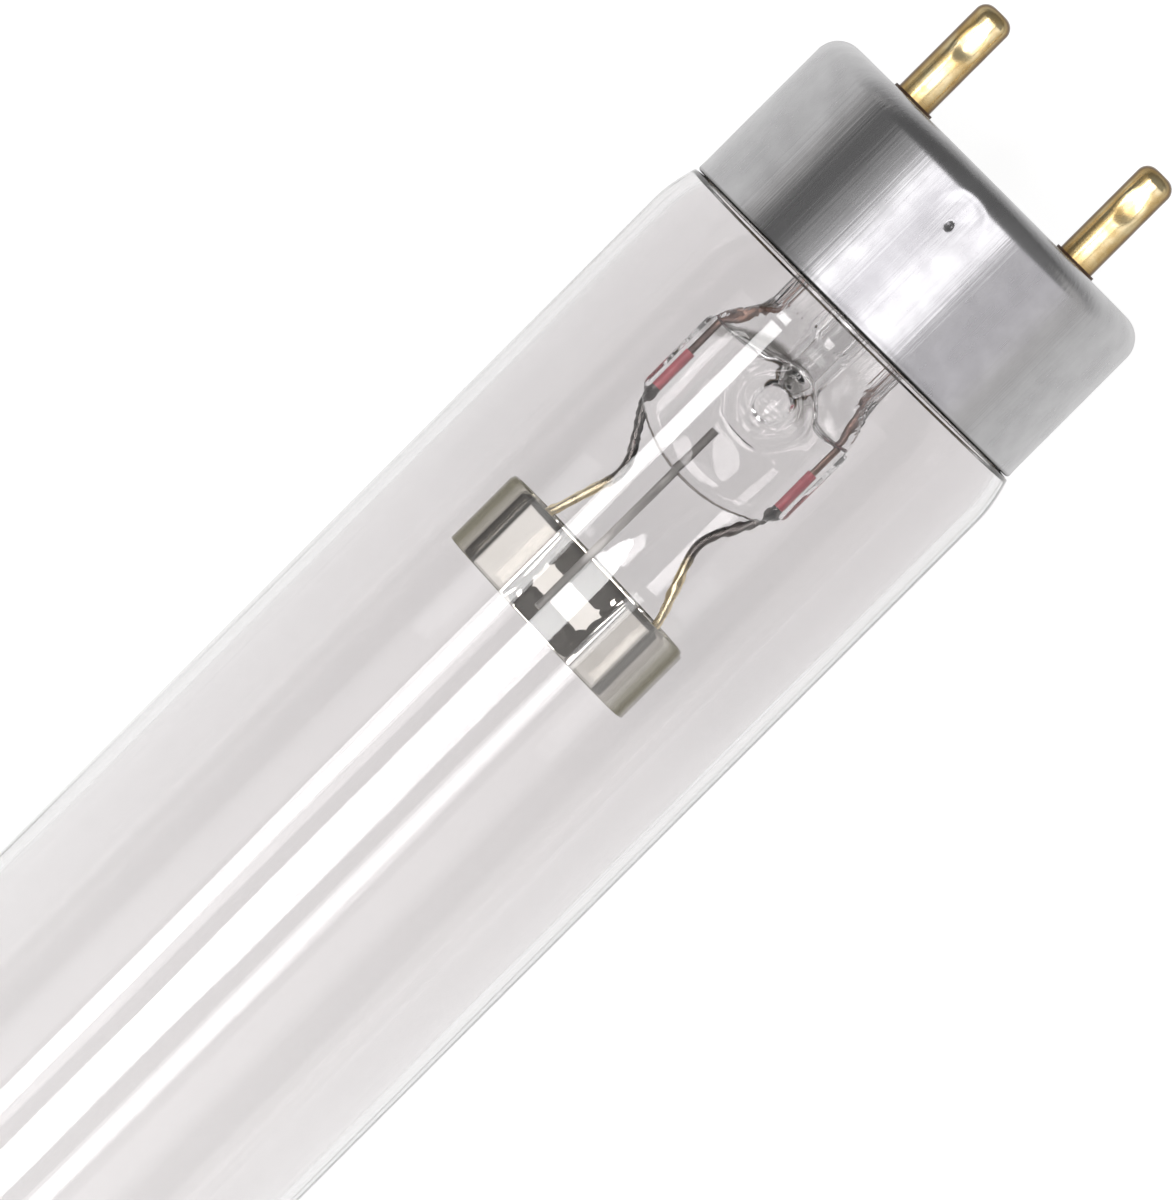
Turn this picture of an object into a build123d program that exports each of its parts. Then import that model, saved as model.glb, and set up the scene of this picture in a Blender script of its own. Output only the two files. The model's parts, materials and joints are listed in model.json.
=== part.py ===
"""A clear ultraviolet discharge lamp: a straight glass tube with a two-pin cap at each end.

Frame: X runs along the lamp, the origin is the middle of the tube's axis, and the pins of both
caps lie in the XY plane. Each piece of an end is modelled at the +X end and turned half a turn
about Z for the other end. All lengths are in millimetres.
"""

import os
from math import cos, pi, radians, sin, tan

from build123d import *

# Glass tube
face_to_face = 437.4  # between the end faces of the two caps
tube_diameter = 25.5
tube_wall = 0.8
neck_draw = 1.45  # how much its radius is drawn in to go into the cap
shoulder_start = 0.65  # how far below the cap's rim the tube begins to draw in
shoulder_slope = 80.0  # degrees
shoulder_bend = 0.55
neck_depth = 6.3  # how far the glass goes into the cap

# Cap shell
cap_inset = 0.6  # how far its side stands inside the side of the tube
cap_length = 11.0
cap_wall = 0.3
cap_corner = 1.6
cap_corner_steps = 4  # facets that stand for the round
hollow_corner_steps = 2
rim_lip = 0.12  # how far the rim is spread
rim_lip_length = 0.7
opening_end = 2.45  # beyond the middle of each pin
opening_width = 6.4
stake_from_face = 2.9
stake_mouth = 2.3  # diameter of each of the two punched stake marks
stake_point = 0.42  # diameter of its bottom
stake_depth = 0.45
cement_inset = 1.0  # bare strip between the rim and the cement
cement_length = 4.6

# Insulating plate and contact pins
plate_thickness = 3.0
collar_width = 0.2  # around the pin
collar_height = 0.2
tip_pocket_diameter = 5.0  # room in the plate for the tip of the exhaust tube
tip_pocket_depth = 1.6
pin_spacing = 12.7
pin_diameter = 2.35
pin_length = 7.0  # beyond the end face
pin_tip_round = 0.75
pin_tip_steps = 3
pin_step = 0.175  # how much less the radius is inside the plate
pin_flange_width = 0.65  # around the part inside the plate
pin_flange_thickness = 0.4
pin_bore = 1.0
pin_bore_end = 1.6  # solid metal left at the tip
crimp_from_tip = 2.5
crimp_length = 1.7
crimp_width = 1.3
crimp_depth = 0.3

# Glass stem: flare, tube and flattened press
stem_diameter = 8.4
stem_wall = 0.9
flare_root = 0.8  # beyond the rim, where the stem begins to open out
press_shoulder = 2.4  # below the rim, where the stem begins to flatten
press_start = 5.3  # below the rim, where it is fully flat
press_end = 12.9  # below the rim, at the lowest point of the tongue
press_width = 11.0
press_lean = 0.45  # how far the jaws pushed the press off the axis
press_crown = 4.2  # thickness of the rounded press before the jaws flatten it
press_thickness = 3.3
tongue_extra = 5.5  # how much the tongue's radius is above half the width
cavity_end = 4.8  # below the rim, where the hollow of the stem closes
cavity_end_width = 6.6
cavity_end_thickness = 3.4
exhaust_diameter = 3.0
exhaust_bore = 1.7
exhaust_end = 8.2  # below the rim
exhaust_tip = 2.4  # below the end face
exhaust_taper = 2.0
exhaust_nub = 0.9  # diameter of the tipped-off end
blow_hole_diameter = 2.2
blow_hole_from_rim = 6.4

# Lead wires, drawn with few sides because they are thin and many
wire_sides = 8
outer_lead_diameter = 0.4
seal_wire_diameter = 0.46
inner_lead_diameter = 0.56
weld_diameter = 0.76
lead_cover = 0.9  # from the edge of the press to the middle of the lead
lead_clearance = 0.15  # between the outer leads and the hollow of the stem
lead_turn = 2.8  # beyond the rim, where the outer leads turn out to the pins
seal_start = 7.5  # below the rim
seal_end = 10.2
weld_start = 10.4
weld_end = 11.4
waist_spread = 2.95  # from their middle, where the inner leads come closest
waist_lean = 0.28
waist_start = 14.1
waist_end = 15.2
inner_lead_bend = 0.9

# Electrode: coil, clamps and shield ring
coil_lean = 0.2  # how far its middle is off the axis
shield_start = 19.45  # below the rim
shield_height = 5.0
shield_lean = 0.48
shield_tilt = 2.0  # degrees
shield_length = 13.8
shield_depth = 8.4
shield_thickness = 0.2
shield_lap = 2.6  # length of the welded overlap
support_diameter = 0.5
support_start = 9.6  # below the rim, inside the press
support_straight = 14.2
support_reach = 18.0
support_end = 23.4
support_lean = 1.2
support_bend = 1.2
clamp_spread = 4.35  # from the middle of the coil
clamp_length = 1.5
clamp_width = 0.7
clamp_height = 1.0
clamp_round = 0.2
coil_diameter = 1.3
coil_length = 6.6
coil_leg_diameter = 0.36
mercury_diameter = 0.86
mercury_position = -60.0

# Stations along X at the +X end, worked out from the sizes above
face = face_to_face / 2
rim = face - cap_length
plate_front = face - cap_wall
plate_back = plate_front - plate_thickness
collar_top = face + collar_height
pin_tip = face + pin_length
neck_end = rim + neck_depth
flare_seat = neck_end - stem_wall
shield_top = rim - shield_start
shield_bottom = shield_top - shield_height
coil_x = shield_top - shield_height / 2

tube_radius = tube_diameter / 2
neck_radius = tube_radius - neck_draw
neck_bore_radius = neck_radius - tube_wall
cap_radius = tube_radius - cap_inset
pin_y = pin_spacing / 2
pin_radius = pin_diameter / 2
pin_shank_radius = pin_radius - pin_step
pin_flange_radius = pin_shank_radius + pin_flange_width
opening_length = pin_spacing + 2 * opening_end
stem_radius = stem_diameter / 2
stem_bore_radius = stem_radius - stem_wall
lead_spread = press_width / 2 - lead_cover
lead_in_stem = stem_bore_radius - lead_clearance - outer_lead_diameter / 2
shield_front = shield_depth / 2
tongue_radius = press_width / 2 + tongue_extra
tongue_centre_x = rim - press_end + tongue_radius

pin_axis = Axis((0, pin_y, 0), (1, 0, 0))


def stakes(radius):
    """Where the punch stands on a wall of this radius, on the two sides away from the pins."""
    x = face - stake_from_face
    return Location((x, 0, radius)), Location((x, 0, -radius), (180, 0, 0))


def round_points(corner_x, corner_r, radius, steps):
    """Points along a quarter round, from the side wall to the end face."""
    turns = [step * pi / 2 / steps for step in range(steps + 1)]
    return [(corner_x - radius + radius * sin(a), corner_r - radius + radius * cos(a)) for a in turns]


def station(x):
    """A plane across the lamp at x, looking towards +X, with Y as its first axis."""
    return Plane(origin=(x, 0, 0), x_dir=(0, 1, 0), z_dir=(1, 0, 0))


def wire(points, diameter, bend=0, plane=Plane.XY):
    """A round wire along straight runs, with rounded or sharp bends."""
    with BuildPart() as made:
        with BuildLine(plane) as route:
            if bend:
                FilletPolyline(*points, radius=bend)
            else:
                Polyline(*points)
        with BuildSketch(Plane(origin=route.line @ 0, z_dir=route.line % 0)):
            RegularPolygon(diameter / 2, wire_sides)
        sweep(transition=Transition.RIGHT)
    return made.part


# Glass tube: half of its wall is turned about the axis and mirrored
shoulder_drop = tube_radius - neck_radius
shoulder_x = rim - shoulder_start + shoulder_bend * tan(radians(shoulder_slope / 2))
shoulder_run = shoulder_drop / tan(radians(shoulder_slope))
wall_shift = tube_wall * tan(radians(shoulder_slope / 2))
with BuildPart() as glass_tube:
    with BuildSketch(Plane.XY):
        with BuildLine():
            outside = FilletPolyline(
                (0, tube_radius),
                (shoulder_x, tube_radius),
                (shoulder_x + shoulder_run, neck_radius),
                radius=shoulder_bend,
            )
            Polyline(
                outside @ 1,
                (neck_end, neck_radius),
                (neck_end, neck_bore_radius),
                (shoulder_x - wall_shift + shoulder_run, neck_bore_radius),
                (shoulder_x - wall_shift, tube_radius - tube_wall),
                (0, tube_radius - tube_wall),
                outside @ 0,
            )
        make_face()
    revolve(axis=Axis.X)
    mirror(about=Plane.YZ)

# Hollow of the cap, with the stake marks standing into it
with BuildPart() as cap_hollow:
    with BuildSketch(Plane.XY):
        with BuildLine():
            Polyline(
                (plate_front, 0),
                (rim, 0),
                (rim, cap_radius - cap_wall + rim_lip),
                (rim + rim_lip_length, cap_radius - cap_wall),
                *round_points(plate_front, cap_radius - cap_wall, cap_corner - cap_wall, hollow_corner_steps),
                close=True,
            )
        make_face()
    revolve(axis=Axis.X)
    with Locations(*stakes(cap_radius - cap_wall)):
        Cone(stake_point / 2, stake_mouth - stake_point / 2, 2 * stake_depth, mode=Mode.SUBTRACT)

# Cap shell: one drawn aluminium cup with a long opening for the insulating plate
with BuildPart() as cap_shell:
    with BuildSketch(Plane.XY):
        with BuildLine():
            Polyline(
                (face, 0),
                (rim, 0),
                (rim, cap_radius + rim_lip),
                (rim + rim_lip_length, cap_radius),
                *round_points(face, cap_radius, cap_corner, cap_corner_steps),
                close=True,
            )
        make_face()
    revolve(axis=Axis.X)
    with Locations(*stakes(cap_radius)):
        Cone(stake_point / 2, stake_mouth - stake_point / 2, 2 * stake_depth, mode=Mode.SUBTRACT)
    add(cap_hollow.part, mode=Mode.SUBTRACT)
    with BuildSketch(station(plate_front)):
        SlotOverall(opening_length, opening_width)
    extrude(amount=cap_wall, mode=Mode.SUBTRACT)

# Insulating plate: fills the end of the cap and stands through its opening
with BuildPart() as cap_insulator:
    with BuildSketch(station(plate_back)):
        Circle(cap_radius)
    extrude(amount=plate_thickness)
    add(cap_hollow.part, mode=Mode.INTERSECT)
    with BuildSketch(station(plate_front)):
        SlotOverall(opening_length, opening_width)
    extrude(amount=cap_wall)
    with BuildSketch(station(face)):
        with Locations((pin_y, 0), (-pin_y, 0)):
            Circle(pin_radius + collar_width)
    extrude(amount=collar_height)
    with BuildSketch(station(plate_back)):
        with Locations((pin_y, 0), (-pin_y, 0)):
            Circle(pin_shank_radius)
    extrude(amount=collar_top - plate_back, mode=Mode.SUBTRACT)
    with BuildSketch(station(plate_back)):
        Circle(tip_pocket_diameter / 2)
    extrude(amount=tip_pocket_depth, mode=Mode.SUBTRACT)

# Cement ring between the glass neck and the cap
with BuildPart() as basing_cement:
    with BuildSketch(station(rim + cement_inset)):
        Circle(cap_radius)
        Circle(neck_radius, mode=Mode.SUBTRACT)
    extrude(amount=cement_length)
    add(cap_hollow.part, mode=Mode.INTERSECT)

# Contact pin: a hollow brass rivet, crimped on two sides to grip the lead
with BuildPart() as contact_pin:
    with BuildSketch(Plane.XY):
        with BuildLine():
            Polyline(
                *round_points(pin_tip, pin_y + pin_radius, pin_tip_round, pin_tip_steps),
                (pin_tip, pin_y),
                (pin_tip - pin_bore_end, pin_y),
                (pin_tip - pin_bore_end, pin_y + pin_bore / 2),
                (plate_back - pin_flange_thickness, pin_y + pin_bore / 2),
                (plate_back - pin_flange_thickness, pin_y + pin_flange_radius),
                (plate_back, pin_y + pin_flange_radius),
                (plate_back, pin_y + pin_shank_radius),
                (collar_top, pin_y + pin_shank_radius),
                (collar_top, pin_y + pin_radius),
                close=True,
            )
        make_face()
    revolve(axis=pin_axis)
    for side in (1, -1):
        with BuildSketch(Plane.XY.offset(side * (pin_radius - crimp_depth))):
            with Locations((pin_tip - crimp_from_tip, pin_y)):
                SlotOverall(crimp_length, crimp_width)
        extrude(amount=side * pin_diameter, mode=Mode.SUBTRACT)

# Outer leads: copper, from inside each pin down the hollow stem to the press
outer_lead_top = pin_tip - pin_bore_end
outer_lead_route = [
    (outer_lead_top, pin_y),
    (plate_back - pin_flange_thickness, pin_y),
    (rim + lead_turn, lead_in_stem),
    (rim - press_shoulder, lead_in_stem),
]


def outer_lead(side):
    """One outer lead: out of its pin, in to the stem, down and out to the edge of the press."""
    press_y = press_lean + side * lead_spread
    route = [(x, side * y) for x, y in outer_lead_route]
    route += [(rim - (press_shoulder + seal_start) / 2, press_y), (rim - seal_start, press_y)]
    return wire(route, outer_lead_diameter)


outer_leads = [outer_lead(side) for side in (1, -1)]

# Seal wires: the red copper-clad lengths that the press grips
seal_wires = [
    wire(
        [(rim - below, press_lean + side * lead_spread) for below in (seal_start, seal_end)],
        seal_wire_diameter,
    )
    for side in (1, -1)
]

# Electrode coil, in outline: the wound length between two straight legs
coil_leg_end = clamp_spread + clamp_width / 2
coil_plane = Plane(origin=(coil_x, coil_lean, 0), x_dir=(0, 1, 0), z_dir=(0, 0, 1))
with BuildPart() as electrode_coil:
    with BuildSketch(coil_plane):
        with BuildLine():
            Polyline(
                (-coil_leg_end, 0),
                (-coil_leg_end, coil_leg_diameter / 2),
                (-coil_length / 2, coil_leg_diameter / 2),
                (-coil_length / 2, coil_diameter / 2),
                (coil_length / 2, coil_diameter / 2),
                (coil_length / 2, coil_leg_diameter / 2),
                (coil_leg_end, coil_leg_diameter / 2),
                (coil_leg_end, 0),
                close=True,
            )
        make_face()
    revolve(axis=Axis((coil_x, 0, 0), (0, 1, 0)))


def inner_lead(side):
    """One inner lead: out of the press, in to the waist, out again and down to its clamp."""
    press_y = press_lean + side * lead_spread
    waist_y = waist_lean + side * waist_spread
    clamp_y = coil_lean + side * clamp_spread
    route = [
        (rim - seal_end, press_y),
        (rim - weld_end, press_y),
        (rim - waist_start, waist_y),
        (rim - waist_end, waist_y),
        (shield_top, clamp_y),
        (coil_x, clamp_y),
    ]
    with BuildPart() as made:
        add(wire(route, inner_lead_diameter, inner_lead_bend))
        with BuildSketch(Plane((rim - weld_end, press_y, 0), (0, 1, 0), (1, 0, 0))):
            RegularPolygon(weld_diameter / 2, wire_sides)
        extrude(amount=weld_end - weld_start)
        with BuildSketch(Plane((coil_x - clamp_length / 2, clamp_y, 0), (0, 1, 0), (1, 0, 0))):
            RectangleRounded(clamp_width, clamp_height, clamp_round)
        extrude(amount=clamp_length)
        add(electrode_coil.part, mode=Mode.SUBTRACT)
    return made.part


inner_leads = [inner_lead(side) for side in (1, -1)]

# Shield ring: one strip bent into a flat-sided loop, its ends lapped and welded at the back
tilt = radians(shield_tilt)
shield_plane = Plane(
    origin=(coil_x, shield_lean, 0), x_dir=(sin(tilt), cos(tilt), 0), z_dir=(cos(tilt), -sin(tilt), 0)
)
with BuildPart() as shield_ring:
    with BuildSketch(shield_plane):
        SlotOverall(shield_length, shield_depth)
        SlotOverall(
            shield_length - 2 * shield_thickness,
            shield_depth - 2 * shield_thickness,
            mode=Mode.SUBTRACT,
        )
        with Locations((0, -shield_front - shield_thickness / 2)):
            Rectangle(shield_lap, shield_thickness)
    extrude(amount=shield_height / 2, both=True)

# Shield support: a wire from the middle of the press, welded up the front of the ring
support_z = shield_front + support_diameter / 2
support_plane = Plane(origin=(0, support_lean, 0), x_dir=(1, 0, 0), z_dir=(0, -1, 0))
shield_support = wire(
    [
        (rim - support_start, 0),
        (rim - support_straight, 0),
        (rim - support_reach, support_z),
        (rim - support_end, support_z),
    ],
    support_diameter,
    support_bend,
    support_plane,
)

# Exhaust tube: melted into the press, opened by the blow hole and drawn off to a blunt tip
with BuildPart() as exhaust_tube:
    with BuildSketch(Plane.XY):
        with BuildLine():
            tip_x = face - exhaust_tip
            Polyline(
                (tip_x, 0),
                (tip_x - exhaust_taper, 0),
                (tip_x - exhaust_taper, exhaust_bore / 2),
                (rim - exhaust_end, exhaust_bore / 2),
                (rim - exhaust_end, exhaust_diameter / 2),
                (tip_x - exhaust_taper, exhaust_diameter / 2),
                (tip_x, exhaust_nub / 2),
                close=True,
            )
        make_face()
    revolve(axis=Axis.X)
    with BuildSketch(Plane.XY):
        with Locations((rim - blow_hole_from_rim, 0)):
            Circle(blow_hole_diameter / 2)
    extrude(amount=press_crown, mode=Mode.SUBTRACT)

# Stem: flare and tube turned about the axis, then flattened by the jaws into a rounded tongue
with BuildPart() as glass_stem:
    with BuildSketch(station(rim - press_shoulder)):
        Circle(stem_radius)
    with BuildSketch(station(rim - press_start)):
        with Locations((press_lean, 0)):
            Ellipse(press_width / 2, press_crown / 2)
    loft()
    with BuildSketch(station(rim - press_start)):
        with Locations((press_lean, 0)):
            Ellipse(press_width / 2, press_crown / 2)
    extrude(amount=press_start - press_end)
    with BuildSketch(Plane.XY):
        with Locations((tongue_centre_x, press_lean)):
            Rectangle(tongue_radius, 2 * press_width, align=(Align.MAX, Align.CENTER))
            Circle(tongue_radius, mode=Mode.SUBTRACT)
    extrude(amount=press_crown, both=True, mode=Mode.SUBTRACT)
    for side in (1, -1):
        with BuildSketch(Plane.XY.offset(side * press_thickness / 2)):
            with Locations((rim - press_start, press_lean)):
                Rectangle(press_end, press_width, align=(Align.MAX, Align.CENTER))
        extrude(amount=side * press_crown, mode=Mode.SUBTRACT)
    with BuildSketch(station(rim - press_shoulder)):
        Circle(stem_bore_radius)
    with BuildSketch(station(rim - cavity_end)):
        with Locations((press_lean, 0)):
            Ellipse(cavity_end_width / 2, cavity_end_thickness / 2)
    loft(mode=Mode.SUBTRACT)
    with BuildSketch(Plane.XY):
        with BuildLine():
            flare_x = rim + flare_root
            flare_slope = (neck_bore_radius - stem_radius) / (flare_seat - flare_x)
            Polyline(
                (rim - press_shoulder, stem_radius),
                (flare_x, stem_radius),
                (flare_seat, neck_bore_radius),
                (neck_end, neck_bore_radius),
                (flare_x + stem_wall - stem_wall / flare_slope, stem_bore_radius),
                (rim - press_shoulder, stem_bore_radius),
                close=True,
            )
        make_face()
    revolve(axis=Axis.X)
    with BuildSketch(station(rim - exhaust_end)):
        Circle(exhaust_diameter / 2)
    extrude(amount=exhaust_end + neck_depth, mode=Mode.SUBTRACT)
    with BuildSketch(Plane.XY):
        with Locations((rim - blow_hole_from_rim, 0)):
            Circle(blow_hole_diameter / 2)
    extrude(amount=stem_diameter, mode=Mode.SUBTRACT)
    for embedded in (*outer_leads, *seal_wires, *inner_leads, shield_support):
        add(embedded, mode=Mode.SUBTRACT)

# Mercury: a loose drop that lies at the bottom of the tube
with BuildPart() as mercury_drop:
    with Locations((mercury_position, 0, (mercury_diameter - tube_diameter) / 2 + tube_wall)):
        Sphere(mercury_diameter / 2)

end_pieces = {
    "cap_shell": cap_shell.part,
    "cap_insulator": cap_insulator.part,
    "basing_cement": basing_cement.part,
    "contact_pin_1": contact_pin.part,
    "contact_pin_2": contact_pin.part.rotate(Axis.X, 180),
    "glass_stem": glass_stem.part,
    "exhaust_tube": exhaust_tube.part,
    "outer_lead_1": outer_leads[0],
    "outer_lead_2": outer_leads[1],
    "seal_wire_1": seal_wires[0],
    "seal_wire_2": seal_wires[1],
    "inner_lead_1": inner_leads[0],
    "inner_lead_2": inner_leads[1],
    "electrode_coil": electrode_coil.part,
    "shield_ring": shield_ring.part,
    "shield_support": shield_support,
}

os.makedirs("parts", exist_ok=True)
for end, turn in (("right", 0), ("left", 180)):
    for name, piece in end_pieces.items():
        placed = piece.rotate(Axis.Z, turn)
        placed.label = f"{end}_{name}"
        export_step(placed, f"parts/{placed.label}.step")
for name, whole in (("glass_tube", glass_tube), ("mercury_drop", mercury_drop)):
    whole.part.label = name
    export_step(whole.part, f"parts/{name}.step")
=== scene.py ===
import json
from math import cos, pi, radians, sin, tan

import bmesh
import bpy
import numpy as np
from mathutils import Matrix, Vector

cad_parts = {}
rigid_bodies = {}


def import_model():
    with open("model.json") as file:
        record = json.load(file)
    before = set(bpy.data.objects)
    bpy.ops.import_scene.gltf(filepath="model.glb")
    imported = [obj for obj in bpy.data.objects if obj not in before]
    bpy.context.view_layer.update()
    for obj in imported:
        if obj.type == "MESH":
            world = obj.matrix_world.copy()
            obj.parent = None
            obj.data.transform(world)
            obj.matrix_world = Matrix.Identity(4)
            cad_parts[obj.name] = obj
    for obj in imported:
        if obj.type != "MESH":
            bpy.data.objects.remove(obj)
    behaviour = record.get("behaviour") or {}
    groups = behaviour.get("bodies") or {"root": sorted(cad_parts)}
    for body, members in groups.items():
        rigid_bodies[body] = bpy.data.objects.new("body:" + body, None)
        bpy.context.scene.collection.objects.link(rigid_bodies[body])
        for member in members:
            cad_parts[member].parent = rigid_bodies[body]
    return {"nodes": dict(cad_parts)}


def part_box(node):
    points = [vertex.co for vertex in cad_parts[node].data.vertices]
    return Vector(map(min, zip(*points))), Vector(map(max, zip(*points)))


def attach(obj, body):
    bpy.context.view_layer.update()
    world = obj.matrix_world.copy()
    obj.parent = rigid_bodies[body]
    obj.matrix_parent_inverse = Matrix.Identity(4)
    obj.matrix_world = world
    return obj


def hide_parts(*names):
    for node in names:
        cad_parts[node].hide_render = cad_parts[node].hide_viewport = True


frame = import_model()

MM = 0.001
ENDS = {"right": Matrix.Identity(4), "left": Matrix.Rotation(pi, 4, "Z")}
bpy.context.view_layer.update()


def node_box(node):
    """The lowest and highest corners of a CAD node in millimetres."""
    low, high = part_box(node)
    return low / MM, high / MM


# Sizes read from the frame
cap_low, cap_high = node_box("right_cap_shell")
tube_high = node_box("glass_tube")[1]
pin_low, pin_high = node_box("right_contact_pin_1")
ring_low, ring_high = node_box("right_shield_ring")
coil_low, coil_high = node_box("right_electrode_coil")
mercury_low, mercury_high = node_box("mercury_drop")

rim = cap_low.x
face = cap_high.x
pin_tip = pin_high.x
tube_radius = tube_high.y
neck_end = tube_high.x
pin_y = (pin_low.y + pin_high.y) / 2
coil_x = (coil_low.x + coil_high.x) / 2
coil_lean = (coil_low.y + coil_high.y) / 2
ring_lean = (ring_low.y + ring_high.y) / 2

# Tube
tube_sides = 256
tube_wall = 0.8
neck_radius = 11.3
shoulder_length = 2.9
shoulder_drop = 0.5
shoulder_loops = 25
loops_before_shoulder = (40.0, 8.0, 2.0, 0.5, 0.1)
step_from_rim = 0.08
step_slope = radians(87)
step_bend = 0.1
step_wall = 0.34
inner_bend = 0.03
inner_slope = radians(91.2)
neck_bend = 0.4
# The tube greys between these distances: partly deposit, partly painted shade from the cap and mount
stain_and_shade_start = 140  # from the middle of the lamp
stain_and_shade_end = 209

# Cap
cap_sides = 288
cap_radius = 12.15
cap_wall = 0.3
cap_corner = 1.6
rim_lip_length = 0.7
rim_spread = 0.03
rim_round = 0.2
# Painted shadow along the cap's rim: full this far from the rim, gone at the next
rim_shade_full = 0.1
rim_shade_fade = 0.25
opening_length = 17.6
opening_width = 6.4
stake_crowding = 0.4  # how far the sides of the cap crowd towards the stake marks
stake_from_face = 2.65
stake_radius = 1.65
stake_reach = 2.75
stake_depth = 0.10
stake_blend = 0.8
stake_stretch = 1.05
stake_flat = 0.5
prick_radius = 0.28
prick_point = 0.04
prick_depth = 0.2
prick_below = 0.72

# Pins
pin_sides = 72
pin_radius = 1.175
pin_tip_round = 0.75
pin_shank_radius = 1.0
pin_flange_radius = 1.65
pin_flange_thickness = 0.4
collar_height = 0.2
# Painted shade darkens the pins' feet up to this height above the cap's face
foot_shade_height = 1.6
plate_depth = 3.3
crimp_from_tip = 2.5
crimp_length = 2.3
crimp_width = 1.5
crimp_depth = 0.12
crimp_full = 0.3  # shares of the crimp's half size
crimp_fade = 1.2
crimp_above = 0.3  # share of the pin's radius

# Stem, measured down from the rim of the cap
stem_cell = 0.11
stem_margin = 0.3
stem_radius = 4.2
stem_wall = 0.6
flare_root = -0.8
flare_power = 1.6
flare_limit = 1.25
press_lead = 0.4
press_shoulder = 2.4
press_start = 5.3
press_end = 12.9
press_width = 11.0
press_lean = 0.45
press_thickness = 3.3
press_squareness = 0.9
press_ripple = 0.010
ripple_waves = ((1.2, 0.5), (-0.4, 0.9))  # across and along the press
past_press = 6.0
tongue_radius = 11.0
flatten_start = 1.6
flatten_end = 5.3
cavity_end = 4.7
cavity_least = 0.5
dome_length = 1.0
arch_lean = 0.5
arch_falls = {1: 0.07, -1: 0.20}
arch_most = 1.5
# Painted shade in the stem glass: a dark arch where the press begins
painted_arch_top = 3.98
painted_arch_lean = 1.67
painted_arch_fall = 0.158
painted_arch_thickness = 0.8
painted_arch_fade = 5.6
painted_arch_end = 6.8
exhaust_radius = 1.5
exhaust_bore_radius = 0.85
exhaust_swelling = 0.4
exhaust_end = 8.2
exhaust_tip = -8.6
exhaust_taper = 2.0
exhaust_nub_radius = 0.45
bore_start = 0.4  # beyond the taper
blow_hole_radius = 1.1
blow_hole = 6.4
funnel_least = 0.4
funnel_most = 2.0
lip_radius = 1.75
lip_height = 0.05
lip_thickness = 0.3

# Rounds where one part of the stem's glass melted into another
melt = {
    "tongue": 1.1, "flare end": 0.2, "hollow": 0.25, "exhaust": 0.6, "exhaust end": 0.3, "lip": 0.7,
    "bore": 0.2, "hole back": 0.5, "hole": 0.35,
}

# Leads, measured down from the rim of the cap
outer_lead_diameter = 0.4
outer_lead_bend = 1.0
seal_wire_diameter = 0.56
inner_lead_diameter = 0.56
inner_lead_bend = 2.6
lead_below_tip = 1.6  # where the lead ends in its pin
lead_turn = -2.8
lead_in_stem = 3.38
lead_in_press = 4.95
lead_spread = 4.6
seal_start = 7.5
seal_end = 10.2
# Painted reflection on the inner leads: near black down to the first, pale warm gold past the second
painted_lead_dark_start = 15.4
painted_lead_dark_end = 16.6
weld_middle = 10.9
weld_length = 1.5
weld_diameter = 0.70
straight_end = 11.4
waist = 14.65
waist_spread = 2.75
waist_lean = 0.28
clamp_spread = 4.35
clamp_size = (1.5, 0.7, 1.0)
clamp_edge = 0.2

# Support wire, measured down from the rim of the cap
support_diameter = 0.44
support_lean = 1.2
support_bend = 1.2
support_start = 9.6
support_straight = 14.2
support_reach = 18.0
support_end = 23.4
support_heat_start = 13.0
support_heat_end = 17.0
support_weld_start = 19.0
support_weld_end = 20.0

# Electrode coil
coil_diameter = 1.3
coil_length = 6.6
coil_turns = 8.0
coil_strand = 0.36
coil_strand_turns = 230
coil_wire_radius = 0.035
coil_leg_bend = 0.3
coil_leg_rise = 0.4
coil_past_clamp = 0.3

# Shield ring
strip_thickness = 0.2
ring_length = 13.8
ring_height = 5.0
ring_tilt = radians(2.0)
loop_points = 241
facet_reach = {1: 4.92, -1: 4.37}
facet_length = {1: 2.15, -1: 1.6}
facet_bend = 0.45
facet_turn = radians(4.0)
facet_tilt = radians(22.0)
edge_roll = 0.10
edge_roll_length = 0.16
wave_depth = 0.050
wave_tilt = radians(7.2)
wave_full = 0.62  # share of the flat front
wave_past = 0.15
lap_length = 2.6
lap_edge = 0.08

# Mercury, as shares of the drop's radius
drop_top = 0.92
drop_foot = 0.97


# Shapes


def smooth(low, high, value):
    """0 below low, 1 above high and an even S between them."""
    t = np.clip((value - low) / (high - low), 0, 1)
    return t * t * (3 - 2 * t)


def soft_max(a, b, k):
    """The greater of two distances, rounded over k where they meet."""
    h = np.clip(0.5 + 0.5 * (a - b) / k, 0, 1)
    return b + (a - b) * h + k * h * (1 - h)


def soft_min(a, b, k):
    """The lesser of two distances, rounded over k where they meet."""
    return -soft_max(-a, -b, k)


def arc(centre, radius, start, end, steps):
    """Points of a round from one angle to another, both in radians."""
    turns = np.linspace(start, end, steps + 1)
    return [(centre[0] + radius * cos(a), centre[1] + radius * sin(a)) for a in turns]


def skin(points, closed_section=True):
    """A smooth mesh over a grid of points: each row is a section, and the rows go round the piece."""
    rows, columns = points.shape[:2]
    here = np.arange(rows * columns).reshape(rows, columns)
    beside = np.roll(here, -1, axis=0)
    quads = np.stack([here, beside, np.roll(beside, -1, axis=1), np.roll(here, -1, axis=1)], axis=-1)
    if not closed_section:
        quads = quads[:, :-1]
    mesh = bpy.data.meshes.new("skin")
    mesh.from_pydata(points.reshape(-1, 3).tolist(), [], quads.reshape(-1, 4).tolist())
    return cleaned(mesh)


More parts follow.
